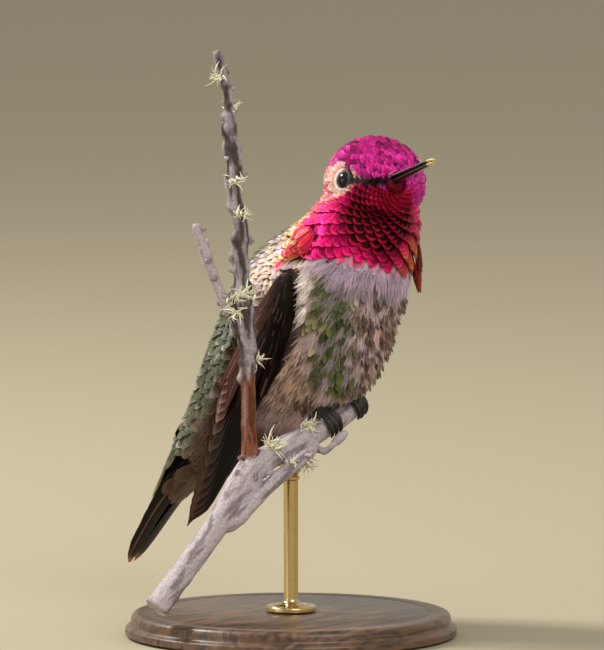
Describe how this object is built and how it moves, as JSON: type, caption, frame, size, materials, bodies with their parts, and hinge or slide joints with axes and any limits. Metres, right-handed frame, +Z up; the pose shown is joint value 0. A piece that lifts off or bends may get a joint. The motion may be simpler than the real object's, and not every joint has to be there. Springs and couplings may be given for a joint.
{
  "type": "hummingbird model on a twig perch and stand",
  "caption": "Life-size male hummingbird with a flared gorget, perched upright on a cut lichened twig held by a small round display stand.",
  "frame": {"origin": "centre of the display base's flat underside", "axes": "+Z up; the bird's body faces -Y with its middle plane parallel to the YZ plane, so its right side is towards -X; the head is turned to its right"},
  "size_m": [0.0573, 0.0742, 0.0973],
  "materials": {
    "gorget_feathers": "scale-like iridescent feathers, crimson to magenta",
    "body_feathers": "soft grey-buff and green body feathers",
    "flight_feathers": "dark brown-black vanes with paler edges",
    "eye": "wet, glossy, near-black",
    "bill": "black horn with a pale worn tip",
    "foot_skin": "fine dark scales",
    "bark": "grey-lilac weathered bark with lichen",
    "base_wood": "turned and waxed dark wood",
    "rod_brass": "aged brass"
  },
  "bodies": {
    "root": {"head": "gorget_feathers", "neck": "gorget_feathers", "gorget_right": "gorget_feathers", "gorget_left": "gorget_feathers", "trunk": "body_feathers", "leg_right": "body_feathers", "leg_left": "body_feathers", "wing_right": "flight_feathers", "wing_left": "flight_feathers", "tail": "flight_feathers", "eye_right": "eye", "eye_left": "eye", "bill_upper": "bill", "bill_lower": "bill", "foot_right": "foot_skin", "foot_left": "foot_skin", "perch_limb": "bark", "perch_upright": "bark", "perch_side_twig": "bark", "perch_branchlet": "bark", "perch_bud": "bark", "stand_base": "base_wood", "stand_rod": "rod_brass"}
  },
  "joints": []
}
